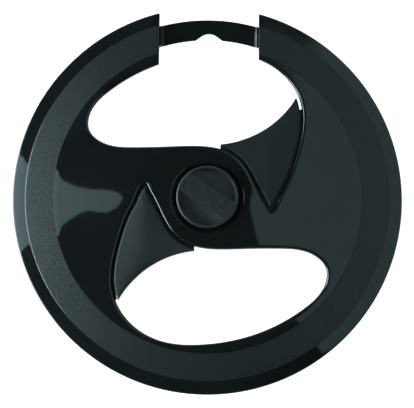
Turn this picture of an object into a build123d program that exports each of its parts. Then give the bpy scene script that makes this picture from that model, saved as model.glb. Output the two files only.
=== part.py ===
"""Bicycle chain guard: a domed disc that turns with the right-hand crank and covers the chainring.

The disc is one moulding with two open windows, each the other turned half way round the hub, and a
notch at the top where the crank arm comes out over a recessed strap. A second moulding, the fin
insert, is staked behind it and fills one end of each window with a fin. The centre screw goes into
the crank's own extractor thread and clamps both against the crank boss.

Frame: millimetres. The hub axis is Z, the front of the disc faces +Z, the notch is at +Y, and the
back of the rim lies on Z = 0.
"""

import os
from math import atan2, cos, degrees, radians, sin, sqrt

from build123d import *

# Disc, from the rim inwards
guard_diameter = 200.0
rim_edge = 1.4
rim_edge_chamfer = 0.6
rim_land = 2.8
bevel_width = 6.5
bevel_drop = 3.2
band_width = 14.3
band_recess = 0.25
strip_width = 4.2
dome_radius = 322.0
shell_wall = 2.4
window_edge_chamfer = 0.9

# Hub of the disc
hub_hole_diameter = 34.6
hub_hole_round = 1.7
hub_collar_wall = 2.0
hub_edge_radius = 25.2
web_half_width = 26.1

# Window outline: angle about the hub, and how far inside the far edge or outside the hub edge
far_edge = [(132.3, 0.3), (110.8, 1.6), (88.5, 0.5), (70.5, -1.4), (57.0, 1.0)]
hub_edge = [(15.0, 0.1), (45.8, 0.0), (73.3, 0.6)]
# Window outline: places along the straight web edge, how far each lies from its half width, and the
# dip where the edge meets the round end
web_edge = [(-4.0, 0.4), (-20.0, 0.0)]
web_edge_dip = 0.4
# Window outline: its round end, as angles about the end's centre and insets from the end's radius
window_end_radius = 12.0
window_end = [(253.6, 1.4), (195.2, 0.9), (151.4, 0.5)]
# Window outline: the fin's long side and apex, as angles about the hub and shares of the way from
# the hub edge to the far edge
fin_side = [(47.3, 0.882), (40.3, 0.766), (32.5, 0.614), (23.3, 0.46), (12.5, 0.329)]
fin_apex = [(-0.8, 0.221), (-10.5, 0.181), (-12.9, 0.143), (-8.8, 0.095)]
outline_spans = 8
seam_angle = -22.0

# Crank notch and the strap behind the crank arm
notch_width = 52.0
notch_overrun = 8.4
strap_inset = 7.5
strap_width = 9.0
strap_wall = 2.0
strap_lift = 0.5
strap_relief_radius = 4.0
strap_relief_round = 2.5
joggle_run = 1.9
joggle_rise = 2.7
joggle_wall = 2.4

# Fin insert
fin_groove = 1.2
fin_recess = 0.3
fin_edge_chamfer = 0.5
fin_free_radius = 50.9
fin_free_side_step = 0.9
fin_free_rise = 1.8
fin_hub_corner = 6.4
insert_wall = 1.8
insert_gap = 0.1
flange_overlap = 4.5
flange_tip_relief = 6.5
ring_back = 10.0
ring_thickness = 2.5
ring_flat_margin = 1.2
ring_rim_gap = 0.2

# Stakes that hold the insert to the disc
stake_places = [1, 3]
stake_diameter = 2.8
stake_gap = 0.15
stake_head_diameter = 5.2
stake_head_height = 1.0

# Centre screw
screw_head_gap = 1.4
screw_head_proud = 2.3
screw_head_chamfer = 0.7
screw_rim_width = 1.4
grip_depth = 3.4
grip_bar_width = 10.5
grip_bar_step = 1.3
grip_slope_width = 6.5
grip_angle = -33.0
thread_diameter = 22.0
thread_length = 7.5
thread_chamfer = 0.8
neck_depth = 1.2
neck_overrun = 1.0
stem_wall = 3.0
screw_bore_roof = 3.0
bore_gap = 0.4

# How close an edge lies to a face that it counts as being on
on_face_within = 0.01

# Heights and radii that follow
rim_radius = guard_diameter / 2
band_outer_radius = rim_radius - bevel_width
band_inner_radius = band_outer_radius - band_width
window_far_radius = band_inner_radius - strip_width
hub_hole_radius = hub_hole_diameter / 2
collar_radius = hub_hole_radius + hub_collar_wall
strap_outer_radius = rim_radius - strap_inset
strap_inner_radius = strap_outer_radius - strap_width
thread_radius = thread_diameter / 2
dome_centre = rim_edge + bevel_drop - sqrt(dome_radius**2 - band_outer_radius**2)
ring_top = ring_back + ring_thickness
ring_flat_radius = collar_radius + ring_flat_margin
ring_rim_radius = hub_edge_radius - ring_rim_gap
screw_head_radius = hub_hole_radius - screw_head_gap
fin_free_centre = (fin_free_side_step, hub_edge_radius + fin_free_rise + fin_free_radius)
cut_height = rim_radius


def dome_height(radius, depth=0.0):
    """Height of the dome's face, or of a layer that lies a depth behind it, at a radius from the axis."""
    return dome_centre + sqrt((dome_radius - depth) ** 2 - radius**2)


def dome_arc(start, end, depth=0.0):
    """The dome's section between two radii, as an arc about the dome's own centre."""
    first, last = (degrees(atan2(dome_height(r, depth) - dome_centre, r)) for r in (start, end))
    return CenterArc((0, dome_centre), dome_radius - depth, first, last - first)


def spun(*edges):
    """A closed section of radii and heights, turned about the axis. Its seam lies clear of the windows."""
    return Rot(0, 0, seam_angle) * revolve(Plane.XZ * make_face(Wire(edges)), Axis.Z)


def chained(*points):
    """The straight edges from each point to the next."""
    return [Line(a, b) for a, b in zip(points, points[1:])]


def dome_layer(top, bottom, reach):
    """The solid between two depths behind the dome's face, out to a radius."""
    return spun(
        *chained((0, dome_height(0, bottom)), (0, dome_height(0, top))),
        dome_arc(0, reach, top),
        *chained((reach, dome_height(reach, top)), (reach, dome_height(reach, bottom))),
        dome_arc(reach, 0, bottom),
    )


def polar(radius, angle):
    return (radius * cos(radians(angle)), radius * sin(radians(angle)))


def between_edges(angle, share):
    """A point at an angle about the hub, a share of the way from the hub edge to the window's far edge."""
    return polar(hub_edge_radius + share * (window_far_radius - hub_edge_radius), angle)


def window_end_centre():
    """Centre of the window's round end, which lies against the web edge and the far edge."""
    rise = web_half_width + window_end_radius
    return Vector(-sqrt((window_far_radius - window_end_radius) ** 2 - rise**2), rise)


def window_points(apex):
    """The points that one opening's edge runs through, clockwise from the web."""
    end = window_end_centre()
    return [
        *((x, web_half_width + offset) for x, offset in web_edge),
        (end.X + window_end_radius, web_half_width - web_edge_dip),
        *(end + Vector(*polar(window_end_radius - inset, angle)) for angle, inset in window_end),
        *(polar(window_far_radius - inset, angle) for angle, inset in far_edge),
        *(between_edges(angle, share) for angle, share in fin_side + apex),
        *(polar(hub_edge_radius + offset, angle) for angle, offset in hub_edge),
    ]


def window_outline(inset=0.0, apex=fin_apex):
    """One opening in the disc, or its outline moved inwards, as a face with one smooth closed edge."""
    edge = Spline(*window_points(fin_apex), periodic=True)
    points = []
    for point in window_points(apex):
        along = edge.tangent_at(point)
        points.append(Vector(point) + Vector(along.Y, -along.X) * inset)
    edge = Spline(*points, periodic=True)
    steps = [i / outline_spans for i in range(outline_spans + 1)]
    return make_face(Wire([edge.trim(a, b) for a, b in zip(steps, steps[1:])]))


def pair(shape):
    """A shape and its copy half a turn round the hub."""
    return [Rot(0, 0, turn) * shape for turn in (0, 180)]


def beside_opening(region, inset=0.0):
    """The part of a region on the fin's side of the opening, and clear of its edges by an inset."""
    half = Pos(fin_hub_corner + inset + rim_radius, 0) * Rectangle(2 * rim_radius, 2 * rim_radius)
    opening = Pos(*fin_free_centre) * Circle(fin_free_radius + inset)
    return (region & half) - opening


def fin_outline():
    """The fin: the window less its groove, up to the free edge that the fin shows to the opening."""
    return beside_opening(window_outline(fin_groove))


def pocket_outline():
    """The hollow in the back of the fin, a wall inside its edges, with a blunt end at the apex."""
    return beside_opening(window_outline(fin_groove + insert_wall, fin_apex[:1]), insert_wall)


def flange_outline():
    """The insert's flange, which runs behind the disc all round the fin but stops short of the tip."""
    tip = fin_outline().vertices().sort_by(Axis.Y)[-1]
    relief = Pos(tip.X, tip.Y) * Circle(flange_tip_relief)
    hub = Circle(ring_rim_radius - insert_wall / 2)
    region = beside_opening(window_outline(-flange_overlap)) - relief - hub
    return region.faces().sort_by(SortBy.AREA)[-1]


def stake_spots():
    """Points in the middle of the flange, beside the long edge of the fin."""
    spots = []
    for i in stake_places:
        before, here, after = (Vector(*between_edges(*fin_side[j])) for j in (i - 1, i, i + 1))
        along = (after - before).normalized()
        spots.append(here + Vector(-along.Y, along.X) * (flange_overlap / 2))
    return spots


def make_shell():
    """The disc: dome, grained band, bevel, hub collar, notch, strap and the stakes on its back."""
    wall_end = band_outer_radius - shell_wall / 2
    section = make_face(
        Wire(
            [
                *chained(
                    (collar_radius, dome_height(collar_radius, shell_wall)),
                    (collar_radius, ring_top),
                    (hub_hole_radius, ring_top),
                    (hub_hole_radius, dome_height(hub_hole_radius)),
                ),
                dome_arc(hub_hole_radius, band_inner_radius),
                *chained(
                    (band_inner_radius, dome_height(band_inner_radius)),
                    (band_inner_radius, dome_height(band_inner_radius, band_recess)),
                ),
                dome_arc(band_inner_radius, band_outer_radius, band_recess),
                *chained(
                    (band_outer_radius, dome_height(band_outer_radius, band_recess)),
                    (band_outer_radius, dome_height(band_outer_radius)),
                    (rim_radius, rim_edge),
                    (rim_radius, 0),
                    (rim_radius - rim_land, 0),
                    (wall_end, dome_height(wall_end, shell_wall)),
                ),
                dome_arc(wall_end, collar_radius, shell_wall),
            ]
        )
    )
    hub_corner = (hub_hole_radius, dome_height(hub_hole_radius))
    section = fillet(section.vertices().sort_by_distance(hub_corner)[:1], hub_hole_round)
    rim_corner = (rim_radius, rim_edge)
    section = chamfer(section.vertices().sort_by_distance(rim_corner)[:1], rim_edge_chamfer)
    shell = Rot(0, 0, seam_angle) * revolve(Plane.XZ * section, Axis.Z)

    for opening in pair(extrude(window_outline(), cut_height)):
        shell -= opening
    shell = chamfer([e for e in shell.edges() if lies_on_dome(e)], window_edge_chamfer)

    notch_depth = rim_radius - window_far_radius + 2 * notch_overrun
    notch_middle = (rim_radius + window_far_radius) / 2
    shell -= Pos(0, notch_middle, 0) * Box(notch_width, notch_depth, cut_height)
    shell += make_strap()
    for spot in stake_spots():
        for stake in pair(Pos(spot.X, spot.Y, 0) * make_stake(spot.length)):
            shell += stake
    return shell


def lies_on_dome(edge, depth=0.0):
    """True for an edge on the dome's face, or a depth behind it, that isn't a ring about the axis."""
    centre = Vector(0, 0, dome_centre)
    spots = [edge @ t for t in (0.0, 0.3, 0.6, 0.9)]
    on_face = all(abs((p - centre).length - dome_radius + depth) < on_face_within for p in spots)
    radii = [sqrt(p.X**2 + p.Y**2) for p in spots]
    is_ring = max(radii) - min(radii) < on_face_within
    return on_face and not is_ring


def is_free_edge(edge):
    """True for an edge along the arc that the fin shows to the opening."""
    x, y = fin_free_centre
    return all(
        abs(sqrt((p.X - x) ** 2 + (p.Y - y) ** 2) - fin_free_radius) < on_face_within
        for p in (edge @ t for t in (0.0, 0.5, 1.0))
    )


def make_strap():
    """The strap across the notch, behind the crank arm, with the joggles that step it up to the disc."""
    half_span = notch_width / 2 + joggle_wall
    ring = Circle(strap_outer_radius) - Circle(strap_inner_radius)
    ring &= Pos(0, rim_radius / 2) * Rectangle(2 * half_span, rim_radius)
    relief = Pos(0, strap_inner_radius) * Circle(strap_relief_radius)
    lip = ring - relief
    corners = lip.vertices().sort_by_distance((0, strap_inner_radius))[:2]
    strap = Pos(0, 0, strap_lift) * extrude(fillet(corners, strap_relief_round), strap_wall)

    foot = notch_width / 2 - joggle_run
    strap_top = strap_lift + strap_wall
    step = Polyline(
        (foot, strap_lift),
        (foot, strap_top),
        (notch_width / 2, strap_top + joggle_rise),
        (notch_width / 2, dome_height(0)),
        (half_span, dome_height(0)),
        (half_span, strap_lift),
        close=True,
    )
    wedge = extrude(Plane.XZ * make_face(step), -rim_radius)
    joggle = wedge & extrude(ring, cut_height) & under_face()
    return strap + joggle + mirror(joggle, Plane.YZ)


def under_face():
    """Everything behind the middle of the disc's wall."""
    middle = shell_wall / 2
    return spun(
        *chained((0, 0), (0, dome_height(0, middle))),
        dome_arc(0, rim_radius, middle),
        *chained((rim_radius, dome_height(rim_radius, middle)), (rim_radius, 0), (0, 0)),
    )


def make_stake(radius):
    """One stake at a radius from the axis: a post through the flange, and the head melted over it."""
    head_radius = stake_head_diameter / 2
    seat = dome_height(radius + head_radius, shell_wall + insert_gap + insert_wall)
    head = Pos(0, 0, seat - stake_head_height / 2) * Cylinder(head_radius, stake_head_height)
    post_length = dome_height(radius, shell_wall / 2) - seat
    return head + Pos(0, 0, seat + post_length / 2) * Cylinder(stake_diameter / 2, post_length)


def make_insert():
    """The fin insert: a dished ring behind the hub, and two fins that come up through the windows."""
    flange_top = shell_wall + insert_gap
    flange_back = flange_top + insert_wall
    flange = dome_layer(flange_top, flange_back, rim_radius) & extrude(flange_outline(), cut_height)
    panel = dome_layer(fin_recess, flange_back, rim_radius) & extrude(fin_outline(), cut_height)
    free_edges = [e for e in panel.edges() if lies_on_dome(e, fin_recess) and is_free_edge(e)]
    panel = chamfer(free_edges, fin_edge_chamfer)
    pocket_layer = dome_layer(fin_recess + insert_wall, flange_back + insert_wall, rim_radius)
    pocket = pocket_layer & extrude(pocket_outline(), cut_height)
    fin_solid = flange + panel - pocket
    for spot in stake_spots():
        fin_solid -= Pos(spot.X, spot.Y, 0) * Cylinder(stake_diameter / 2 + stake_gap, cut_height)

    ring_bore = thread_radius + bore_gap
    ring = spun(
        *chained(
            (ring_bore, ring_back),
            (ring_flat_radius, ring_back),
            (ring_rim_radius, dome_height(ring_rim_radius, flange_back)),
            (ring_rim_radius, dome_height(ring_rim_radius, flange_top)),
            (ring_flat_radius, ring_top),
            (ring_bore, ring_top),
            (ring_bore, ring_back),
        )
    )
    insert = ring
    for fin in pair(fin_solid):
        insert += fin
    return insert


def make_screw():
    """The centre screw: a headed plug with a diagonal grip bar, and a hollow threaded stem."""
    head_top = dome_height(0) + screw_head_proud
    stem_end = ring_back - thread_length
    bore_radius = thread_radius - stem_wall
    bore_top = head_top - grip_depth - screw_bore_roof
    section = make_face(
        Polyline(
            (0, head_top),
            (screw_head_radius, head_top),
            (screw_head_radius, ring_top),
            (thread_radius - neck_depth, ring_top),
            (thread_radius - neck_depth, ring_back - neck_overrun),
            (thread_radius, ring_back - neck_overrun),
            (thread_radius, stem_end + thread_chamfer),
            (thread_radius - thread_chamfer, stem_end),
            (bore_radius, stem_end),
            (bore_radius, bore_top),
            (0, bore_top),
            close=True,
        )
    )
    head_corner = (screw_head_radius, head_top)
    section = chamfer(section.vertices().sort_by_distance(head_corner)[:1], screw_head_chamfer)
    screw = revolve(Plane.XZ * section, Axis.Z)

    well_radius = screw_head_radius - screw_rim_width
    floor = head_top - grip_depth
    well = Pos(0, 0, floor + grip_depth) * Cylinder(well_radius, 2 * grip_depth)
    half_bar = grip_bar_width / 2
    bar_section = Polyline(
        (-half_bar - grip_slope_width, floor),
        (-half_bar, head_top - grip_bar_step),
        (-half_bar, head_top + grip_depth),
        (half_bar, head_top + grip_depth),
        (half_bar, head_top - grip_bar_step),
        (half_bar + grip_slope_width, floor),
        close=True,
    )
    bar = extrude(Plane.XZ * make_face(bar_section), screw_head_radius, both=True)
    well -= Rot(0, 0, grip_angle - 90) * bar
    return screw - well


os.makedirs("parts", exist_ok=True)
export_step(make_shell(), "parts/guard_shell.step")
export_step(make_insert(), "parts/fin_insert.step")
export_step(make_screw(), "parts/centre_screw.step")
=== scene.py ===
"""Finish of a bicycle chain guard: rounded mouldings, grained band, satin insert and screw, and the studio.

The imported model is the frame: metres, hub axis on Z, front of the disc towards +Z, crank notch at +Y.
"""

import math

import bmesh
import bpy
import numpy as np
from bmesh.types import BMEdge, BMFace, BMVert
from mathutils import Matrix, Vector
from mathutils.kdtree import KDTree


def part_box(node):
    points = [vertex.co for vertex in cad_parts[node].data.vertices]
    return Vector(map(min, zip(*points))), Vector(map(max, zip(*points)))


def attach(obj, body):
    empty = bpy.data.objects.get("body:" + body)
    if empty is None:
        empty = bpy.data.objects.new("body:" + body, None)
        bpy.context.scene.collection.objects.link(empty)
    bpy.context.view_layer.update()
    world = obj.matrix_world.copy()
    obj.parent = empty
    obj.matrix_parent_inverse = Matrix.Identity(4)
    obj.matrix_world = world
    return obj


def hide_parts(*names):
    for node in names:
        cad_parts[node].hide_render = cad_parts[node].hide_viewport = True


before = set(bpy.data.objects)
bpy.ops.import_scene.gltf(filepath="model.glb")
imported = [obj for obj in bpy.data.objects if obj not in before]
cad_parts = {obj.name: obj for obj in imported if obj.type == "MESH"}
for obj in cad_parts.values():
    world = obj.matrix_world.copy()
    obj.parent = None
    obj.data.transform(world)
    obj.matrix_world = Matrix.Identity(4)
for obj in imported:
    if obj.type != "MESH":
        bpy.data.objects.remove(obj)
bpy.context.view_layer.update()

bl_info = {
    "name": "Chain guard",
    "version": (1, 0, 0),
    "blender": (4, 5, 0),
    "location": "View3D > Sidebar > Chain guard",
    "description": "Builds the finished chain guard round its packed model, with a small studio",
    "category": "Object",
}

MM = 0.001
TOUCHING = 0.001 * MM
UP = Vector((0, 0, 1))
RIM_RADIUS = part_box("guard_shell")[1].x

# Edge of one window, as in the solid: angles in degrees about the hub, and millimetres or shares
FAR_EDGE = [(132.3, 0.3), (110.8, 1.6), (88.5, 0.5), (70.5, -1.4), (57.0, 1.0)]
HUB_EDGE = [(15.0, 0.1), (45.8, 0.0), (73.3, 0.6)]
WEB_EDGE = [(-4.0, 0.4), (-20.0, 0.0)]
WEB_EDGE_DIP = 0.4
WINDOW_END = [(253.6, 1.4), (195.2, 0.9), (151.4, 0.5)]
FIN_SIDE = [(47.3, 0.882), (40.3, 0.766), (32.5, 0.614), (23.3, 0.46), (12.5, 0.329)]
FIN_APEX = [(-0.8, 0.221), (-10.5, 0.181), (-12.9, 0.143), (-8.8, 0.095)]
STAKE_PLACES = (1, 3)
# Outline of the tab that closes the gap at the lower fin's tip, in millimetres
TIP_TAB = [(-45.9, -46.0), (-50.0, -46.0), (-50.6, -50.4), (-48.6, -52.6), (-45.5, -52.0), (-46.1, -49.4)]
# How the narrow end of a window and of its fin is drawn to a point: about where, how far round, and how much
APEX_MIDDLE = Vector((32.0, -6.0)) * MM
APEX_REACH = 5.0 * MM
WINDOW_APEX_PULL = 0.5 * MM
FIN_APEX_PULL = 1.6 * MM
APEX_SQUEEZE = 0.25
# Where a window comes closest to the band, in degrees about the hub, and over how wide a stretch
STRIP_PINCH = (73.0, 14.0)
# How far down the bevel its extra points lie
BEVEL_SHARES = (0.15, 0.35, 0.55, 0.72, 0.86)
# Where the low left card's two ends fade, in metres
LEFT_FADES = ((-1.8, -0.8), (0.4, 1.4))


def number(description, default, **kind):
    """A number that the sidebar shows."""
    return bpy.props.FloatProperty(description=description, default=default, min=0.0, **kind)


def length(description, millimetres):
    return number(description, millimetres * MM, unit="LENGTH", precision=5)


def angular(description, degrees):
    return number(description, math.radians(degrees), unit="ROTATION")


def factor(description, default):
    return number(description, default, max=1.0, subtype="FACTOR")


def colour(description, default):
    return bpy.props.FloatVectorProperty(
        description=description, default=default, min=0.0, max=1.0, size=3, subtype="COLOR"
    )


class GuardSizes(bpy.types.PropertyGroup):
    """Sizes of the disc, the strap and the insert."""

    dome_radius: length("Radius of the dome", 322)
    shell_wall: length("Thickness of the disc", 2.4)
    rim_edge: length("Height of the rim's upright edge", 1.4)
    rim_round: length("Radius on the outer edge of the rim", 1.0)
    rim_land: length("Width of the flat on the back of the rim", 2.8)
    bevel_width: length("Width of the plain bevel at the rim", 6.5)
    bevel_drop: length("Fall of the bevel to the rim", 3.2)
    band_width: length("Width of the grained band", 14.3)
    band_lip: length("Width of the steep lip between band and bevel", 0.13)
    bevel_crown: length("Swell of the bevel above a straight line", 0.11)
    band_recess: length("Depth of the band below the dome", 0.25)
    strip_width: length("Width of the plain strip inside the band", 4.2)
    shoulder_width: length("Width over which the strip rolls down to the band", 2.6)
    shoulder_pinch: length("Loss of shoulder width beside a window", 2.1)
    window_round: length("Radius on the front edge of the windows", 1.7)
    hub_hole: length("Radius of the hole for the screw's head", 17.3)
    hub_slope: length("Width of the sloping edge round the hub hole", 1.6)
    hub_slope_angle: angular("Angle of the hub slope", 26)
    hub_round: length("Radius at the top of the hub slope", 1.2)
    collar_wall: length("Thickness of the collar round the hub hole", 2.0)
    collar_end: length("Height of the collar's back end", 12.5)
    hub_edge: length("Radius of the windows' edge round the hub", 25.2)
    web_half_width: length("Half the width of the web across the hub", 26.1)
    window_end: length("Radius of a window's round end", 12.0)
    notch_width: length("Width of the notch for the crank arm", 51.0)
    notch_round: length("Radius on the edges of the notch", 0.5)
    notch_floor: length("Height above the hub from which the notch is open", 60.0)
    strap_outer: length("Radius of the strap's outer edge", 92.9)
    strap_width: length("Width of the strap", 10.4)
    strap_lift: length("Height of the strap above the back of the rim", 0.5)
    strap_wall: length("Thickness of the strap", 2.0)
    strap_round: length("Radius on the edges of the strap", 0.3)
    strap_hold: length("How far the strap runs on behind the disc", 2.4)
    relief_width: length("Width of the relief in the strap's inner edge", 13.8)
    relief_peak: length("Height at which the relief's two flanks would meet", 4.75)
    relief_radius: length("Radius between the relief's flanks", 6.5)
    relief_round: length("Radius where the relief meets the inner edge", 1.2)
    joggle_foot: length("From the notch's wall to the joggle's foot", 1.7)
    joggle_run: length("Length of the slope up to the disc", 0.65)
    joggle_rise: length("Rise of the slope up to the disc", 2.7)
    flange_overlap: length("How far the insert's flange runs behind the disc", 4.5)
    flange_front: length("Depth of the flange's front behind the dome", 2.5)
    flange_back: length("Depth of the flange's back behind the dome", 4.3)
    fin_recess: length("Depth of the fins' edges below the dome", 0.3)
    fin_round: length("Radius on the edges of the fins", 1.0)
    fin_crown: length("How far the fins rise along their ridge", 0.9)
    fin_crown_run: length("Distance from the edge over which the fins swell", 3.0)
    fin_ridge: length("Distance of a fin's ridge from the disc's middle", 32.4)
    fin_ridge_round: length("Width over which the ridge turns", 2.0)
    fin_flank: length("Width over which a fin falls away from its ridge", 16.0)
    stake_radius: length("Radius of a stake", 1.4)
    stake_head: length("Radius of a stake's melted head", 2.6)
    stake_head_height: length("Height of a stake's melted head", 1.0)


class GuardFinishes(bpy.types.PropertyGroup):
    """Colours and textures of the mouldings."""

    shell_colour: colour("Gloss black of the disc", (0.0043, 0.0058, 0.0063))
    insert_colour: colour("Satin black of the fins", (0.0032, 0.0041, 0.0044))
    screw_colour: colour("Satin black of the centre screw", (0.0145, 0.018, 0.019))
    sheen_tint: colour("Cool tint of the plastic's reflections", (0.70, 0.97, 1.0))
    shell_roughness: factor("Roughness of the polished disc", 0.03)
    band_roughness: factor("Roughness of the grained band", 0.44)
    insert_roughness: factor("Roughness of the fins", 0.6)
    screw_sheen: factor("Strength of the centre screw's reflections", 0.3)
    screw_roughness: factor("Roughness of the centre screw", 0.42)
    grain_size: length("Size of the band's moulded grain", 0.65)
    grain_depth: length("Depth of the band's moulded grain", 0.14)


class GuardStage(bpy.types.PropertyGroup):
    """Camera, lights and floor."""

    camera_distance: length("From the camera to the back of the hub", 2000)
    camera_tilt: angular("Lean of the camera towards the disc's foot", 5.0)
    camera_roll: angular("Turn of the disc in the picture", 0.6087)
    pixel_size: length("What one pixel covers at the back of the rim", 0.5137)
    picture_width: bpy.props.IntProperty(description="Width of the picture in pixels", default=414)
    hub_offset: bpy.props.FloatVectorProperty(
        description="Hub's place from the picture's middle, in pixels", default=(0.3167, 3.7253), size=2
    )
    floor_colour: colour("Colour of the floor", (0.8, 0.8, 0.8))
    floor_glow: factor("Brightness of the floor without its light", 0.9)
    card_height: length("Height of the light cards", 1000)
    key_strength: number("Brightness of the left card over the hub", 1.0)
    key_rise: number("Gain of the left card in each metre outwards", 1.45)
    side_strength: number("Brightness of the low left card", 20.0)
    fill_strength: number("Brightness of the right card", 0.75)
    card_tint: colour("Tint of the light cards", (0.93, 0.99, 1.0))
    lamp_power: number("Power of the soft lamp over the disc", 8.0, unit="POWER")
    lamp_size: length("Width of the soft lamp", 1600)
    lamp_height: length("Height of the soft lamp", 1500)
    room_colour: colour("Dim colour of the room", (0.045, 0.05, 0.052))


class Dome:
    """The sphere that the disc's face follows."""

    def __init__(self, sizes):
        self.radius = sizes.dome_radius
        rise = math.sqrt(self.radius**2 - band_outer(sizes) ** 2)
        self.centre = sizes.rim_edge + sizes.bevel_drop - rise

    def height(self, radius, depth=0.0):
        """Height of the face, or of a layer that lies a depth behind it, at a radius from the axis."""
        return self.centre + math.sqrt((self.radius - depth) ** 2 - radius**2)

    def lifted(self, point, depth=0.0):
        """A point raised or lowered onto the face, or onto a layer behind it."""
        return Vector((point.x, point.y, self.height(math.hypot(point.x, point.y), depth)))

    def normal(self, point):
        return (point - UP * self.centre).normalized()


def polar(radius, angle):
    turn = math.radians(angle)
    return Vector((radius * math.cos(turn), radius * math.sin(turn)))


def between_edges(sizes, angle, share):
    """A point at an angle about the hub, a share of the way from the hub edge to the far edge."""
    return polar(sizes.hub_edge + share * (far_radius(sizes) - sizes.hub_edge), angle)


def band_outer(sizes):
    """Radius of the grained band's outer edge."""
    return RIM_RADIUS - sizes.bevel_width


def band_inner(sizes):
    """Radius of the grained band's inner edge."""
    return band_outer(sizes) - sizes.band_width


def far_radius(sizes):
    """Radius of the windows' far edge."""
    return band_inner(sizes) - sizes.strip_width


def window_points(sizes):
    """The points that a window's edge runs through, clockwise from the web."""
    end, web, far = sizes.window_end, sizes.web_half_width, far_radius(sizes)
    centre = Vector((-math.sqrt((far - end) ** 2 - (web + end) ** 2), web + end))
    return [
        *(Vector((x * MM, web + offset * MM)) for x, offset in WEB_EDGE),
        Vector((centre.x + end, web - WEB_EDGE_DIP * MM)),
        *(centre + polar(end - inset * MM, angle) for angle, inset in WINDOW_END),
        *(polar(far - inset * MM, angle) for angle, inset in FAR_EDGE),
        *(between_edges(sizes, angle, share) for angle, share in FIN_SIDE + FIN_APEX),
        *(polar(sizes.hub_edge + offset * MM, angle) for angle, offset in HUB_EDGE),
    ]


def drawn_to_point(place, pull):
    """Draws the narrow end of a window, or of the fin in it, in to a sharper point."""
    turn = math.copysign(1, place.x)
    away = place - turn * APEX_MIDDLE
    share = math.exp(-((away.length / APEX_REACH) ** 2))
    return place + share * Vector((-APEX_SQUEEZE * away.x, turn * pull))


def window_edge(sizes):
    """Places and directions along the edge of the upper window."""
    edge = []
    for place, along in smooth_edge(window_points(sizes)):
        here, ahead = (drawn_to_point(p, WINDOW_APEX_PULL) for p in (place, place + along * 0.01 * MM))
        edge.append((here, (ahead - here).normalized()))
    return edge


def smooth_edge(points, spacing=1.6 * MM, bend=math.radians(6)):
    """Places and directions along a smooth closed curve, closer together where it bends."""
    knots = np.array(points)
    ahead = np.roll(knots, -1, 0) - knots
    span = np.linalg.norm(ahead, axis=1)
    before = np.roll(span, 1)
    count = len(knots)
    system = np.zeros((count, count))
    here = np.arange(count)
    system[here, here] = 2 / before + 2 / span
    system[here, here - 1] += 1 / before
    system[here, (here + 1) % count] += 1 / span
    pull = ahead / span[:, None] ** 2
    slope = np.linalg.solve(system, 3 * (pull + np.roll(pull, 1, 0)))

    samples = 60
    t = np.linspace(0, 1, samples, endpoint=False)[None, :, None]
    start, end = knots[:, None], np.roll(knots, -1, 0)[:, None]
    leave, arrive = (slope * span[:, None])[:, None], (np.roll(slope, -1, 0) * span[:, None])[:, None]
    place = (
        (2 * t**3 - 3 * t**2 + 1) * start + (3 * t**2 - 2 * t**3) * end
        + (t**3 - 2 * t**2 + t) * leave + (t**3 - t**2) * arrive
    ).reshape(-1, 2)
    along = np.roll(place, -1, 0) - np.roll(place, 1, 0)
    heading = np.unwrap(np.arctan2(along[:, 1], along[:, 0]))
    step = np.linalg.norm(np.diff(place, axis=0, append=place[:1]), axis=1)
    turn = np.abs(np.diff(heading, append=heading[:1] + 2 * np.pi * np.sign(heading[-1] - heading[0])))
    cost = np.cumsum(step / spacing + turn / bend)
    wanted = np.linspace(0, cost[-1], math.ceil(cost[-1]), endpoint=False)
    chosen = np.searchsorted(cost, wanted)
    along /= np.linalg.norm(along, axis=1)[:, None]
    return [(Vector(place[i]), Vector(along[i])) for i in chosen]


def rounded(corners, segments=5):
    """A section's radii and heights, with each corner that has a radius of its own made an arc."""
    points = []
    for i, (x, z, radius) in enumerate(corners):
        here = Vector((x, z))
        if not radius:
            points.append(here)
            continue
        back = (Vector(corners[i - 1][:2]) - here).normalized()
        on = (Vector(corners[i + 1][:2]) - here).normalized()
        half = back.angle(on) / 2
        centre = here + (back + on).normalized() * radius / math.sin(half)
        start = here + back * radius / math.tan(half) - centre
        sweep = math.copysign(math.pi - 2 * half, back.y * on.x - back.x * on.y)
        for k in range(segments + 1):
            points.append(centre + Matrix.Rotation(sweep * k / segments, 2) @ start)
    return points


def only(kind, geom):
    """The vertices, edges or faces among the parts of a mesh."""
    return [part for part in geom if isinstance(part, kind)]


def ends(edges):
    """The vertices of some edges, each one once."""
    return list(dict.fromkeys(v for e in edges for v in e.verts))


def sides(faces):
    """The edges of some faces, each one once."""
    return list(dict.fromkeys(e for f in faces for e in f.edges))


def cut_faces(bm, faces, place, normal, slack=TOUCHING / 10):
    """Cuts faces along a plane and keeps both sides."""
    lines = sides(faces)
    geom = ends(lines) + lines + faces
    bmesh.ops.bisect_plane(bm, geom=geom, dist=slack, plane_co=place, plane_no=normal)


def extrude_loop(bm, edges, carried, place):
    """Extrudes loops of edges once. Each new vertex takes over what its source carried, which places it."""
    sources = set(ends(edges))
    made = bmesh.ops.extrude_edge_only(bm, edges=edges)["geom"]
    fresh = set(only(BMVert, made))
    for v in fresh:
        source = next(e.other_vert(v) for e in v.link_edges if e.other_vert(v) in sources)
        carried[v] = carried[source]
        v.co = place(carried[v])
    return [e for e in only(BMEdge, made) if fresh.issuperset(e.verts)]


def extrude_steps(bm, edges, carried, place, steps):
    """Extrudes loops of edges step by step, placed also by the share of the way gone."""
    for k in range(1, steps + 1):
        edges = extrude_loop(bm, edges, carried, lambda part: place(part, k / steps))
    return edges


def draw_rings(bm, edges, section):
    """Draws a ring of edges about the axis on along a section of radii and heights."""
    outward = {v: Vector((v.co.x, v.co.y, 0)).normalized() for v in ends(edges)}
    for radius, height in section:
        edges = extrude_loop(bm, edges, outward, lambda d: d * radius + UP * height)
    return edges


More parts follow.
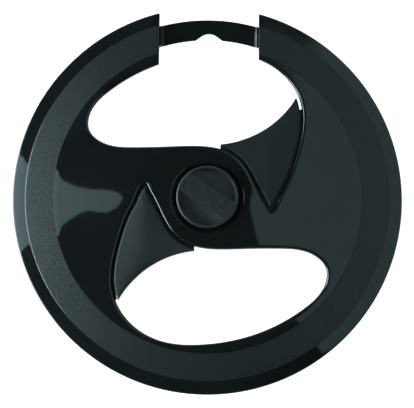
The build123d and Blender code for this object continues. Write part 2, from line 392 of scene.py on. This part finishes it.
def fill_dome(bm, edges, dome, depth, cell=3 * MM):
    """Fills the dome between loops of edges with square cells that lie on its curve."""
    patch = bm.faces.layers.int.get("patch") or bm.faces.layers.int.new("patch")
    number = 1 + max((f[patch] for f in bm.faces), default=0)
    made = bmesh.ops.triangle_fill(bm, edges=edges, normal=UP, use_beauty=True, use_dissolve=False)["geom"]
    for face in only(BMFace, made):
        face[patch] = number

    def region():
        return [f for f in bm.faces if f[patch] == number]

    def within(part):
        return all(f[patch] == number for f in part.link_faces)

    cuts = math.ceil(RIM_RADIUS / cell)
    for axis in (Vector((1, 0, 0)), Vector((0, 1, 0))):
        for k in range(-cuts, cuts):
            cut_faces(bm, region(), axis * (k + 0.5) * cell, axis)

    def on_cell_line(edge, slack=1e-3):
        a, b = (v.co / cell - Vector((0.5, 0.5, 0)) for v in edge.verts)
        return any(abs(a[i] - b[i]) < slack and abs(a[i] - round(a[i])) < slack for i in (0, 1))

    inside = [e for e in sides(region()) if len(e.link_faces) == 2 and within(e)]
    bmesh.ops.dissolve_edges(bm, edges=[e for e in inside if not on_cell_line(e)], use_verts=False)
    inside = [v for v in ends(sides(region())) if not v.is_boundary and within(v)]
    spare = [v for v in inside if len(v.link_edges) == 2 and len(v.link_faces) == 2]
    bmesh.ops.dissolve_verts(bm, verts=spare)
    faces = region()
    for v in ends(sides(faces)):
        v.co = dome.lifted(v.co, depth)
    bmesh.ops.recalc_face_normals(bm, faces=faces)
    if faces[0].normal.z < 0:
        bmesh.ops.reverse_faces(bm, faces=faces)
    return faces


def window_frame(dome, place, along):
    """Directions across the face and out of it at a point of a window's edge."""
    normal = dome.normal(dome.lifted(place))
    into = Vector((along.y, -along.x, 0))
    return (into - normal * into.dot(normal)).normalized(), normal


def wall_turn(across, normal):
    """The angle from the face round to an upright wall."""
    return math.atan2(normal.z, -across.z)


def headings(edges):
    """The direction of a border at each of its vertices, with the surface on its left."""
    along = {}
    for e in edges:
        loop = e.link_loops[0]
        step = (loop.link_loop_next.vert.co - loop.vert.co).xy.normalized()
        for v in e.verts:
            along[v] = along.get(v, Vector((0, 0))) + step
    return {v: step.normalized() for v, step in along.items()}


def round_over(start, across, out, radius, angle):
    """A point on a rounded edge that leaves its start along across and turns away from out."""
    return start + across * radius * math.sin(angle) - out * radius * (1 - math.cos(angle))


def raised_plate(bm, outline, rise):
    """A plate between an outline and its copy, raised or lowered."""
    face = bm.faces.new([bm.verts.new(point) for point in outline])
    copied = bmesh.ops.extrude_face_region(bm, geom=[face])["geom"]
    bmesh.ops.translate(bm, vec=UP * rise, verts=only(BMVert, copied))
    bmesh.ops.recalc_face_normals(bm, faces=bm.faces)


def spun(bm, points, centre, steps):
    """Turns a line of points once round an upright axis."""
    verts = [bm.verts.new(point) for point in points]
    edges = [bm.edges.new(pair) for pair in zip(verts, verts[1:])]
    bmesh.ops.spin(
        bm, geom=verts + edges, cent=centre, axis=UP, angle=2 * math.pi, steps=steps, use_merge=True
    )
    bmesh.ops.remove_doubles(bm, verts=bm.verts, dist=TOUCHING)
    bmesh.ops.recalc_face_normals(bm, faces=bm.faces)


def soften(bm, edges, radius, segments=3, clamp=False):
    """Rounds edges over."""
    bmesh.ops.bevel(
        bm, geom=edges, offset=radius, offset_type="OFFSET", affect="EDGES",
        segments=segments, profile=0.5, material=-1, clamp_overlap=clamp,
    )
    bmesh.ops.dissolve_degenerate(bm, dist=TOUCHING, edges=bm.edges)


def placed(name, data):
    """A new object in the scene."""
    made = bpy.data.objects.new(name, data)
    bpy.context.scene.collection.objects.link(made)
    return made


def placed_mesh(name, bm, material):
    """A new object made from a bmesh."""
    mesh = bpy.data.meshes.new(name)
    bm.to_mesh(mesh)
    bm.free()
    mesh.materials.append(material)
    return placed(name, mesh)


def finished_piece(name, bm, material, slot, *nodes, recalculate=True, crisp=38):
    """Makes a piece that stands for the nodes named, shaded sharp at edges over crisp degrees."""
    if recalculate:
        bmesh.ops.recalc_face_normals(bm, faces=bm.faces)
    for layers, mark in ((bm.faces.layers.int, "patch"), (bm.edges.layers.int, "border")):
        if layers.get(mark):
            layers.remove(layers[mark])
    piece = placed_mesh(name, bm, material)
    piece.data.shade_smooth()
    piece.data.set_sharp_from_angle(angle=math.radians(crisp))
    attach(piece, "root")
    if nodes:
        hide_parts(*nodes)


def merged_copy(node):
    """A copy of a node's mesh with its triangles joined up."""
    bm = bmesh.new()
    bm.from_mesh(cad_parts[node].data)
    bmesh.ops.remove_doubles(bm, verts=bm.verts, dist=TOUCHING)
    return bm


class Value:
    """A number that a material works out; sums and products of values add the nodes they need."""

    def __init__(self, finish, socket):
        self.finish = finish
        self.socket = socket

    def math(self, operation, *terms):
        return self.finish.node("ShaderNodeMath", {"operation": operation}, dict(enumerate(terms)))

    def __add__(self, other):
        return self.math("ADD", self, other)

    def __sub__(self, other):
        return self.math("SUBTRACT", self, other)

    def __rsub__(self, other):
        return self.math("SUBTRACT", other, self)

    def __mul__(self, other):
        return self.math("MULTIPLY", self, other)

    __radd__ = __add__
    __rmul__ = __mul__

    def between(self, low, high):
        """0 up to low, 1 from high, and smooth in between."""
        sockets = {"Value": self, "From Min": low, "From Max": high}
        return self.finish.node("ShaderNodeMapRange", {"interpolation_type": "SMOOTHSTEP"}, sockets)


class Finish:
    """A material with one shader, and the nodes that vary it over the surface."""

    def __init__(self, name):
        self.material = bpy.data.materials.new(name)
        self.material.use_nodes = True
        self.tree = self.material.node_tree
        self.shader = self.tree.nodes["Principled BSDF"]

    def node(self, kind, settings, sockets, output=0):
        """Adds a node, sets it up, feeds its sockets and gives back one of its outputs."""
        node = self.tree.nodes.new(kind)
        for name, value in settings.items():
            setattr(node, name, value)
        self.feed(node, sockets)
        return Value(self, node.outputs[output])

    def feed(self, node, sockets):
        for name, value in sockets.items():
            if isinstance(value, Value):
                self.tree.links.new(value.socket, node.inputs[name])
            else:
                node.inputs[name].default_value = value

    def place(self):
        """Object coordinates."""
        return self.node("ShaderNodeTexCoord", {}, {}, "Object")

    def vector(self, operation, sockets, output=0):
        return self.node("ShaderNodeVectorMath", {"operation": operation}, sockets, output)

    def distance(self, where, centre, directions=(1, 1, 1)):
        """Distance from a centre, measured in the directions given."""
        away = self.vector("SUBTRACT", {0: where, 1: centre})
        return self.vector("LENGTH", {0: self.vector("MULTIPLY", {0: away, 1: directions})}, "Value")

    def blend(self, share, low, high):
        """A colour between two, by a share from 0 to 1."""
        return self.node("ShaderNodeMix", {"data_type": "RGBA"}, {0: share, 6: (*low, 1), 7: (*high, 1)}, 2)

    def mottled(self, where, base, size, depth):
        """A colour that is a little darker and lighter in soft patches."""
        low, high = ([part * (1 + side * depth) for part in base] for side in (-1, 1))
        return self.blend(self.noise(where, size).between(0.3, 0.7), low, high)

    def noise(self, where, size, detail=2.0):
        sockets = {"Vector": where, "Scale": 1 / size, "Detail": detail}
        return self.node("ShaderNodeTexNoise", {}, sockets, "Fac")

    def bump(self, height, distance):
        return self.node("ShaderNodeBump", {}, {"Strength": 1, "Height": height, "Distance": distance})

    def glow(self, tint, strength):
        """A light's colour, at a strength that may vary over its surface, in place of the first shader."""
        if isinstance(strength, Value):
            shade = self.vector("SCALE", {0: tint, "Scale": strength})
        else:
            shade = (*(part * strength for part in tint), 1)
        self.tree.nodes.remove(self.shader)
        return self.node("ShaderNodeEmission", {}, {"Color": shade})

    def show(self, shader):
        """Gives the surface a shader."""
        self.tree.links.new(shader.socket, self.tree.nodes["Material Output"].inputs["Surface"])


def shell_finish(sizes, finishes):
    """Polished black plastic, with the fine moulded grain on the band."""
    finish = Finish("gloss_black_shell")
    where = finish.place()
    dome = Dome(sizes)
    radius = finish.distance(where, (0, 0, 0), (1, 1, 0))
    depth = dome.radius - finish.distance(where, (0, 0, dome.centre))
    inner, outer, recess = band_inner(sizes), band_outer(sizes), sizes.band_recess
    fade = 0.15 * MM
    band = radius.between(inner - fade, inner + fade) * (1 - radius.between(outer - 3 * fade, outer - fade))
    band = band * (1 - depth.between(recess + fade, recess + 2 * fade))
    sockets = {"Vector": where, "Scale": 1 / finishes.grain_size, "Smoothness": 0.6}
    cells = finish.node("ShaderNodeTexVoronoi", {"feature": "SMOOTH_F1"}, sockets, "Distance")
    fine_share = 0.6
    grain = (cells + fine_share * finish.noise(where, finishes.grain_size / 2, 3.0)) * band
    haze_size, haze, patch_size, patch_depth = 30 * MM, 0.02, 25 * MM, 0.15
    polish = finishes.shell_roughness + finish.noise(where, haze_size) * haze
    finish.feed(
        finish.shader,
        {
            "Base Color": finish.mottled(where, finishes.shell_colour, patch_size, patch_depth),
            "Specular Tint": (*finishes.sheen_tint, 1),
            "Roughness": polish + band * (finishes.band_roughness - finishes.shell_roughness),
            "Normal": finish.bump(grain, finishes.grain_depth),
        },
    )
    return finish.material


def satin_finish(name, base, roughness, tint, sheen=0.5):
    """Fine-textured satin black plastic."""
    finish = Finish(name)
    where = finish.place()
    texture_size, texture_depth = 0.5 * MM, 0.01 * MM
    patch_size, patch_depth, haze_size, haze = 2 * MM, 0.2, 9 * MM, 0.1
    finish.feed(
        finish.shader,
        {
            "Base Color": finish.mottled(where, base, patch_size, patch_depth),
            "Specular IOR Level": sheen,
            "Specular Tint": (*tint, 1),
            "Roughness": roughness + (finish.noise(where, haze_size) - 0.5) * haze,
            "Normal": finish.bump(finish.noise(where, texture_size, 3.0), texture_depth),
        },
    )
    return finish.material


class ShellBuilder(bpy.types.Operator):
    """Builds the domed disc with its rounded edges, the strap across the notch and the stakes behind"""

    bl_idname = "chain_guard.build_shell"
    bl_label = "Guard shell"

    def execute(self, context):
        sizes = context.scene.guard_sizes
        material = shell_finish(sizes, context.scene.guard_finishes)
        dome = Dome(sizes)
        disc = self.disc(sizes, dome)
        finished_piece("guard_shell_moulding", disc, material, "shell", "guard_shell")
        finished_piece("crank_strap", self.strap(sizes, dome), material, "shell")
        finished_piece("insert_stakes", self.stakes(sizes, dome), material, "shell")
        return {"FINISHED"}

    def disc(self, sizes, dome):
        """The disc: dome, windows, rim, hub collar and back as one closed skin, then the notch cut in it."""
        bm = bmesh.new()
        border = bm.edges.layers.int.new("border")
        hub_lip = sizes.hub_hole + 2 * sizes.hub_slope
        support = 0.25 * MM
        RIM, HUB, WINDOW = 1, 2, 3

        def mark(kind):
            for e in bm.edges:
                e[border] = e[border] or kind

        for v in bmesh.ops.create_circle(bm, segments=256, radius=band_inner(sizes))["verts"]:
            v.co *= 1 - self.shoulder(sizes, v.co) / band_inner(sizes)
        mark(RIM)
        bmesh.ops.create_circle(bm, segments=128, radius=hub_lip)
        mark(HUB)
        outline = window_edge(sizes)
        for turn in (1, -1):
            ring = []
            for place, along in outline:
                across, normal = window_frame(dome, place, along)
                back_off = sizes.window_round * (1 + across.z) + support
                spot = turn * (place - Vector((along.y, -along.x)) * back_off)
                ring.append(bm.verts.new((spot.x, spot.y, 0)))
            for pair in zip(ring, ring[1:] + ring[:1]):
                bm.edges.new(pair)
        mark(WINDOW)
        fill_dome(bm, bm.edges[:], dome, 0.0)
        borders = [e for e in bm.edges if e.is_boundary]
        rim, hub, windows = ([e for e in borders if e[border] == kind] for kind in (RIM, HUB, WINDOW))
        if not (rim and hub and windows):
            raise RuntimeError("an edge of the disc's face is missing")
        windows = self.round_windows(bm, windows, sizes, dome, support)
        rim = self.roll_shoulder(bm, rim, sizes, dome)
        rim = draw_rings(bm, rim, self.rim_section(sizes, dome))
        hub = draw_rings(bm, hub, self.hub_section(sizes, dome, hub_lip))
        fill_dome(bm, windows + rim + hub, dome, sizes.shell_wall)
        bmesh.ops.recalc_face_normals(bm, faces=bm.faces)
        self.cut_notch(bm, sizes)
        return bm

    def shoulder(self, sizes, point):
        """Width of the strip's shoulder on the way from the hub through a point."""
        angle, spread = STRIP_PINCH
        away = (math.degrees(math.atan2(point.y, point.x)) - angle + 90) % 180 - 90
        return sizes.shoulder_width - sizes.shoulder_pinch * math.exp(-((away / spread) ** 2))

    def roll_shoulder(self, bm, edges, sizes, dome):
        """Rolls the strip's edge down, nearly to the level of the band."""
        carried = {v: (v.co.xy.normalized(), self.shoulder(sizes, v.co)) for v in ends(edges)}
        fall = 0.85 * sizes.band_recess

        def rolled(part, share):
            outward, width = part
            point = dome.lifted(outward * (band_inner(sizes) - width * (1 - share)))
            return point - UP * fall * share**2

        return extrude_steps(bm, edges, carried, rolled, steps=7)

    def rim_section(self, sizes, dome):
        """Radii and heights from the band's inner edge over the bevel and the rim, round to the back."""
        inner, outer, recess = band_inner(sizes), band_outer(sizes), sizes.band_recess
        foot, start, end, ridge = inner + 0.17 * MM, inner + 0.3 * MM, outer - 0.4 * MM, outer - 0.3 * MM
        steps = 6
        radii = [foot, start, *(start + (end - start) * k / steps for k in range(1, steps + 1))]
        section = [(radius, dome.height(radius, recess)) for radius in radii]
        crest_inset, crest_depth, lip_slope = 0.12 * MM, 0.6, 0.8
        crest = Vector((outer - crest_inset, dome.height(outer, crest_depth * recess)))
        bevel = Vector((crest.x + sizes.band_lip, crest.y - lip_slope * sizes.band_lip))
        rim = Vector((RIM_RADIUS, sizes.rim_edge))
        swell = [self.crowned(bevel, rim, share, sizes.bevel_crown) for share in BEVEL_SHARES]
        wall_end = outer - sizes.shell_wall / 2
        crest_round, lip_round, back_round = 0.1 * MM, 0.12 * MM, 0.25 * MM
        corners = [
            (ridge, dome.height(ridge, recess), 0),
            (*crest, crest_round),
            (*bevel, lip_round),
            *((*point, 0) for point in swell),
            (*rim, sizes.rim_round),
            (RIM_RADIUS, 0, back_round),
            (RIM_RADIUS - sizes.rim_land, 0, back_round),
            (wall_end, dome.height(wall_end, sizes.shell_wall), 0),
        ]
        return section + [tuple(p) for p in rounded(corners)]

    def crowned(self, start, end, share, crown):
        """A point between two, raised off the straight line as on a shallow arc."""
        along = (end - start).normalized()
        return start.lerp(end, share) + Vector((-along.y, along.x)) * crown * 4 * share * (1 - share)

    def hub_section(self, sizes, dome, hub_lip):
        """Radii and heights from the dome over the hub hole's edge, down the collar and up its outside."""
        collar = sizes.hub_hole + sizes.collar_wall
        slope_top = sizes.hub_hole + sizes.hub_slope
        slope_end = dome.height(slope_top) - sizes.hub_slope * math.tan(sizes.hub_slope_angle)
        hole_round, collar_round = 0.3 * MM, 0.2 * MM
        corners = [
            (hub_lip, dome.height(hub_lip), 0),
            (slope_top, dome.height(slope_top), sizes.hub_round),
            (sizes.hub_hole, slope_end, hole_round),
            (sizes.hub_hole, sizes.collar_end, collar_round),
            (collar, sizes.collar_end, collar_round),
            (collar, dome.height(collar, sizes.shell_wall), 0),
        ]
        return [tuple(p) for p in rounded(corners, segments=8)[1:]]

    def round_windows(self, bm, edges, sizes, dome, support):
        """Rounds the windows' front edges over and takes their walls through to the back."""
        carried = {v: (v.co.copy(), *window_frame(dome, v.co.xy, h)) for v, h in headings(edges).items()}

        def rolled(part, share):
            start, across, normal = part
            return round_over(start, across, normal, sizes.window_round, wall_turn(across, normal) * share)

        edges = extrude_loop(bm, edges, carried, lambda part: dome.lifted(part[0] + part[1] * support))
        carried = {v: (v.co.copy(), *carried[v][1:]) for v in ends(edges)}
        edges = extrude_steps(bm, edges, carried, rolled, steps=6)
        carried = {v: v.co.copy() for v in ends(edges)}
        return extrude_loop(bm, edges, carried, lambda p: dome.lifted(p, sizes.shell_wall))

    def cut_notch(self, bm, sizes):
        """Cuts the notch for the crank arm through the rim and rounds the edges of its two walls."""
        half = sizes.notch_width / 2 + sizes.notch_round
        for side in (1, -1):
            faces = [f for f in bm.faces if f.calc_center_median().y > sizes.notch_floor / 2]
            wall = Vector((side * half, 0, 0))
            cut_faces(bm, faces, wall, wall, slack=TOUCHING)
        within = [f for f in bm.faces if abs(f.calc_center_median().x) < half]
        cut = [f for f in within if f.calc_center_median().y > sizes.notch_floor]
        bmesh.ops.delete(bm, geom=cut, context="FACES")
        edges = [e for e in bm.edges if e.is_boundary]
        carried = {}
        for v in ends(edges):
            outward = sum((f.normal for f in v.link_faces), Vector())
            outward.x = 0
            carried[v] = (v.co.copy(), Vector((-math.copysign(1, v.co.x), 0, 0)), outward.normalized())

        def rolled(part, share):
            return round_over(*part, sizes.notch_round, math.pi / 2 * share)

        edges = extrude_steps(bm, edges, carried, rolled, steps=4)
        for side in (1, -1):
            wall = [e for e in edges if e.verts[0].co.x * side > 0]
            bmesh.ops.triangle_fill(bm, edges=wall, normal=(side, 0, 0), use_beauty=True)

    def strap(self, sizes, dome):
        """The strap across the notch, with the relief in its inner edge and a joggle up to each wall."""
        bm = bmesh.new()
        half_span = sizes.notch_width / 2 + sizes.strap_hold
        outline = self.strap_arc(sizes.strap_outer, half_span, -half_span)
        outline += self.strap_inner_edge(sizes, half_span)
        raised_plate(bm, [(p.x, p.y, sizes.strap_lift) for p in outline], sizes.strap_wall)
        foot = sizes.notch_width / 2 - sizes.joggle_foot
        for x in (foot, foot + sizes.joggle_run):
            for side in (1, -1):
                crease = Vector((side * x, 0, 0))
                cut_faces(bm, bm.faces[:], crease, crease)
        for v in bm.verts:
            if v.co.z > sizes.strap_lift + sizes.strap_wall / 2:
                share = (abs(v.co.x) - foot) / sizes.joggle_run
                lifted = v.co.z + sizes.joggle_rise * min(max(share, 0), 1)
                v.co.z = min(lifted, dome.height(v.co.xy.length, sizes.shell_wall / 3))
        bm.normal_update()
        corner = math.radians(50)
        soften(bm, [e for e in bm.edges if e.calc_face_angle(0) > corner], sizes.strap_round)
        return bm

    def strap_arc(self, radius, start, end, steps=48):
        """Points along an arc about the hub, between two distances to the side of it."""
        spots = (start + (end - start) * k / steps for k in range(steps + 1))
        return [Vector((x, math.sqrt(radius**2 - x**2))) for x in spots]

    def strap_inner_edge(self, sizes, half_span):
        """The strap's inner edge from left to right, with the relief in its middle."""
        inner = sizes.strap_outer - sizes.strap_width
        half = sizes.relief_width / 2
        left = self.strap_arc(inner, -half_span, -half, steps=16)
        right = self.strap_arc(inner, half, half_span, steps=16)
        corners = [
            (*left[-2], 0),
            (*left[-1], sizes.relief_round),
            (0, inner + sizes.relief_peak, sizes.relief_radius),
            (*right[0], sizes.relief_round),
            (*right[1], 0),
        ]
        return left[:-1] + rounded(corners, segments=8)[1:-1] + right[1:]

    def stakes(self, sizes, dome):
        """The four stakes on the disc's back, each with its head melted over the insert's flange."""
        bm = bmesh.new()
        spots = []
        for i in STAKE_PLACES:
            before, here, after = (between_edges(sizes, *FIN_SIDE[j]) for j in (i - 1, i, i + 1))
            along = (after - before).normalized()
            spots.append(here + Vector((-along.y, along.x)) * sizes.flange_overlap / 2)
        for spot in spots + [-s for s in spots]:
            seat = dome.height(spot.length + sizes.stake_head, sizes.flange_back)
            top = dome.height(spot.length, sizes.shell_wall / 2)
            head_round, seat_round = 0.4 * MM, 0.2 * MM
            corners = [
                (0, seat - sizes.stake_head_height, 0),
                (sizes.stake_head, seat - sizes.stake_head_height, head_round),
                (sizes.stake_head, seat, seat_round),
                (sizes.stake_radius, seat, 0),
                (sizes.stake_radius, top, 0),
                (0, top, 0),
            ]
            line = [(spot.x + x, spot.y, z) for x, z in rounded(corners, segments=3)]
            spun(bm, line, (spot.x, spot.y, 0), steps=40)
        return bm


class InsertBuilder(bpy.types.Operator):
    """Finishes the insert with the two fins"""

    bl_idname = "chain_guard.build_insert"
    bl_label = "Fin insert"

    def execute(self, context):
        finishes = context.scene.guard_finishes
        material = satin_finish(
            "satin_black_insert", finishes.insert_colour, finishes.insert_roughness, finishes.sheen_tint
        )
        sizes = context.scene.guard_sizes
        dome = Dome(sizes)
        finished_piece(
            "fin_insert_moulding", self.fins(sizes, dome), material, "insert", "fin_insert",
            recalculate=False, crisp=13,
        )
        finished_piece("fin_tip_tab", self.tip_tab(sizes, dome), material, "insert")
        return {"FINISHED"}

    def tip_tab(self, sizes, dome):
        """The tab between the disc's back and the lower fin's tip."""
        bm = bmesh.new()
        front, back = sizes.flange_front, sizes.flange_back
        raised_plate(bm, [dome.lifted(Vector(p) * MM, front) for p in TIP_TAB], front - back)
        soften(bm, bm.edges[:], sizes.strap_round, segments=2)
        return bm

    def fins(self, sizes, dome):
        """The insert's solid, with each fin's face made again with a rounded edge and a slight crown."""
        bm = merged_copy("fin_insert")
        face = dome.radius - sizes.fin_recess - sizes.fin_round
        centre = UP * dome.centre
        tops = [f for f in bm.faces if all((v.co - centre).length > face for v in f.verts)]
        if not tops:
            raise RuntimeError("the insert has no fin faces")
        bmesh.ops.delete(bm, geom=tops, context="FACES")
        for v in bm.verts:
            v.co.xy = drawn_to_point(v.co.xy, FIN_APEX_PULL)
        edges = [e for e in bm.edges if e.is_boundary]
        bm.normal_update()
        along = headings(edges)
        support, least_round, share_of_width, facing_away = 0.15 * MM, 0.05 * MM, 0.45, 0.3
        carried = {}
        for v, heading in along.items():
            across, normal = window_frame(dome, v.co.xy, -heading)
            facing = [w for w, other in along.items() if other.dot(heading) < facing_away]
            width = min((w.co.xy - v.co.xy).length for w in facing)
            radius = min(sizes.fin_round, share_of_width * width)
            start = v.co - Vector((-heading.y, heading.x, 0)) * radius * (1 + across.z)
            carried[v] = (dome.lifted(start, sizes.fin_recess), across, normal, max(radius, least_round))

        def rolled(part, share):
            start, across, normal, radius = part
            return round_over(start, across, normal, radius, wall_turn(across, normal) * (1 - share))

        for v, part in carried.items():
            v.co = rolled(part, 0)
        edges = extrude_steps(bm, edges, carried, rolled, steps=8)
        edges = extrude_loop(
            bm, edges, carried,
            lambda part: dome.lifted(part[0] - part[1] * min(support, part[3] / 2), sizes.fin_recess),
        )
        border = ends(edges)
        nearest = KDTree(len(border))
        for i, v in enumerate(border):
            nearest.insert(v.co, i)
        nearest.balance()
        faces = fill_dome(bm, edges, dome, sizes.fin_recess, cell=2 * MM)
        for v in ends(sides(faces)):
            inwards = nearest.find(v.co)[2]
            from_ridge = math.hypot(abs(v.co.x) - sizes.fin_ridge, sizes.fin_ridge_round) / sizes.fin_flank
            v.co.z += sizes.fin_crown * (1 - math.exp(-inwards / sizes.fin_crown_run)) * (1 - from_ridge)
        bmesh.ops.dissolve_degenerate(bm, dist=TOUCHING, edges=bm.edges)
        return bm


class ScrewBuilder(bpy.types.Operator):
    """Finishes the centre screw"""

    bl_idname = "chain_guard.build_screw"
    bl_label = "Centre screw"

    def execute(self, context):
        finishes = context.scene.guard_finishes
        material = satin_finish(
            "satin_black_screw", finishes.screw_colour, finishes.screw_roughness, finishes.sheen_tint,
            finishes.screw_sheen,
        )
        bm = merged_copy("centre_screw")
        flat, corner = math.radians(1), math.radians(25)
        bmesh.ops.dissolve_limit(bm, angle_limit=flat, verts=bm.verts[:], edges=bm.edges[:])
        bm.normal_update()
        head_from = context.scene.guard_sizes.collar_end + 1 * MM
        head = [e for e in bm.edges if min(v.co.z for v in e.verts) > head_from]
        corner_round = 0.22 * MM
        soften(bm, [e for e in head if e.calc_face_angle(0) > corner], corner_round, clamp=True)
        finished_piece("centre_screw_head", bm, material, "screw", "centre_screw", recalculate=False)
        return {"FINISHED"}


class StageBuilder(bpy.types.Operator):
    """Sets up the camera, the light cards, the soft lamp and the white floor"""

    bl_idname = "chain_guard.build_stage"
    bl_label = "Stage"

    def execute(self, context):
        stage = context.scene.guard_stage
        context.scene.camera = self.camera(stage)
        self.floor(stage)
        self.cards(stage)
        self.lamp(stage)
        world = bpy.data.worlds.new("studio_dark")
        world.use_nodes = True
        world.node_tree.nodes["Background"].inputs["Color"].default_value = (*stage.room_colour, 1)
        context.scene.world = world
        context.scene.view_settings.view_transform = "Standard"
        return {"FINISHED"}

    def camera(self, stage):
        """The camera looks almost straight down the hub axis, from a little towards the foot of the disc."""
        data = bpy.data.cameras.new("guard_camera")
        data.sensor_width = 36
        data.lens = data.sensor_width * stage.camera_distance / stage.pixel_size / stage.picture_width
        data.clip_end = 20
        turn = Matrix.Rotation(stage.camera_tilt, 4, "X") @ Matrix.Rotation(stage.camera_roll, 4, "Z")
        right, up, back = (turn.to_3x3().col[i] for i in range(3))
        offset = Vector(stage.hub_offset) * stage.pixel_size
        place = back * stage.camera_distance - right * offset.x - up * offset.y
        camera = placed("guard_camera", data)
        camera.matrix_world = Matrix.Translation(place) @ turn
        return camera

    def staged(self, name, bm, material):
        prop = placed_mesh(name, bm, material)
        return prop

    def floor(self, stage):
        """A wide white dish: flat under the disc, with a low raised edge."""
        bm = bmesh.new()
        dish = [(0, 0), (3.2, 0), (3.6, 0.08), (3.95, 0.28), (4.1, 0.6)]
        spun(bm, [(x, 0, z) for x, z in dish], (0, 0, 0), steps=96)
        finish = Finish("white_floor")
        camera, glossy, transmitted = (
            finish.node("ShaderNodeLightPath", {}, {}, f"Is {ray} Ray")
            for ray in ("Camera", "Glossy", "Transmission")
        )
        body = finish.node("ShaderNodeBsdfDiffuse", {}, {"Color": (*stage.floor_colour, 1)})
        glow = finish.glow((1, 1, 1), (camera + glossy + transmitted) * stage.floor_glow)
        finish.show(finish.node("ShaderNodeAddShader", {}, {0: body, 1: glow}))
        self.staged("floor", bm, finish.material)

    def cards(self, stage):
        """A tongue-shaped card over the left, a wide dim one over the right and a low one at each side."""
        high = stage.card_height
        key = [
            (-0.337, 0.086), (-0.352, 0.106), (-0.393, 0.119), (-0.493, 0.128), (-0.556, 0.143),
            (-0.623, 0.174), (-0.65, 0.197), (-1.2, 0.37), (-2.0, 0.72), (-2.0, -0.43), (-1.2, -0.19),
            (-0.645, -0.045), (-0.577, 0.005), (-0.528, 0.029), (-0.490, 0.040), (-0.435, 0.031),
            (-0.400, 0.030), (-0.361, 0.050), (-0.349, 0.066),
        ]
        fill = [
            (0.15, 0.9), (0.158, 0.198), (0.174, 0.118), (0.168, 0.045), (0.183, -0.019), (0.192, -0.058),
            (0.217, -0.116), (0.33, -0.36), (0.88, -1.01), (2.0, -1.3), (2.0, 2.4), (0.6, 2.4),
        ]
        away, low, left_top = 2.0, 0.12, 0.9
        (foot_end, _), (_, top_end) = LEFT_FADES
        left = self.upright(-away, top_end, foot_end, low, left_top)
        right = self.upright(away, -1.4, 2.4, low, high)
        for name, outline, strength in (
            ("key_card", [(*p, high) for p in key], lambda x, y: stage.key_strength - x * stage.key_rise),
            ("fill_card", [(*p, high) for p in fill], lambda x, y: self.fill_glow(stage, x, y)),
            ("left_card", left, lambda x, y: self.side_glow(stage, y)),
            ("right_card", right, lambda x, y: stage.fill_strength / 2),
        ):
            bm = bmesh.new()
            bm.faces.new([bm.verts.new(p) for p in outline])
            finish = Finish(name)
            x, y = (finish.node("ShaderNodeSeparateXYZ", {}, {0: finish.place()}, axis) for axis in "XY")
            finish.show(finish.glow(stage.card_tint, strength(x, y)))
            card = self.staged(name, bm, finish.material)
            card.visible_camera = False
            card.visible_shadow = False

    def upright(self, x, start, end, low, high):
        """The corners of an upright card that stands across the X axis."""
        return [(x, start, low), (x, start, high), (x, end, high), (x, end, low)]

    def fill_glow(self, stage, x, y):
        """Brightness of the right card, which fades to its slanting left side, and more beyond the notch."""
        side, beyond, slant, fade_start, fade_end = 0.5, 0.3, 0.57, -0.12, 0.15
        least = side - beyond * y.between(0.6, 1.7)
        return stage.fill_strength * (least + (1 - least) * (x - slant * y).between(fade_start, fade_end))

    def side_glow(self, stage, y):
        """Brightness of the low card at the far left, which fades towards its two ends."""
        foot, top = LEFT_FADES
        return stage.side_strength * y.between(*foot) * (1 - y.between(*top))

    def lamp(self, stage):
        """A large soft lamp that lights the colours evenly and leaves the gloss to the cards."""
        data = bpy.data.lights.new("soft_lamp", "AREA")
        data.shape = "DISK"
        data.size = stage.lamp_size
        data.energy = stage.lamp_power
        lamp = placed("soft_lamp", data)
        lamp.location = UP * stage.lamp_height
        lamp.visible_glossy = False
        lamp.visible_camera = False


class ChainGuardPanel(bpy.types.Panel):
    """Lists the builders and their settings"""

    bl_idname = "VIEW3D_PT_chain_guard"
    bl_label = "Chain guard"
    bl_space_type = "VIEW_3D"
    bl_region_type = "UI"
    bl_category = "Chain guard"

    def draw(self, context):
        for group in (context.scene.guard_sizes, context.scene.guard_finishes, context.scene.guard_stage):
            column = self.layout.box().column()
            for name in group.__annotations__:
                column.prop(group, name, text=name.replace("_", " ").capitalize())
        for builder in BUILDERS:
            self.layout.operator(builder.bl_idname)


BUILDERS = (ShellBuilder, InsertBuilder, ScrewBuilder, StageBuilder)
GROUPS = {"guard_sizes": GuardSizes, "guard_finishes": GuardFinishes, "guard_stage": GuardStage}


def register():
    for cls in (*GROUPS.values(), *BUILDERS, ChainGuardPanel):
        bpy.utils.register_class(cls)
    for name, group in GROUPS.items():
        setattr(bpy.types.Scene, name, bpy.props.PointerProperty(type=group))


def unregister():
    for name in GROUPS:
        delattr(bpy.types.Scene, name)
    for cls in (ChainGuardPanel, *reversed(BUILDERS), *GROUPS.values()):
        bpy.utils.unregister_class(cls)


def main():
    register()
    bpy.ops.chain_guard.build_shell()
    bpy.ops.chain_guard.build_insert()
    bpy.ops.chain_guard.build_screw()
    bpy.ops.chain_guard.build_stage()


if __name__ == "__main__":
    main()
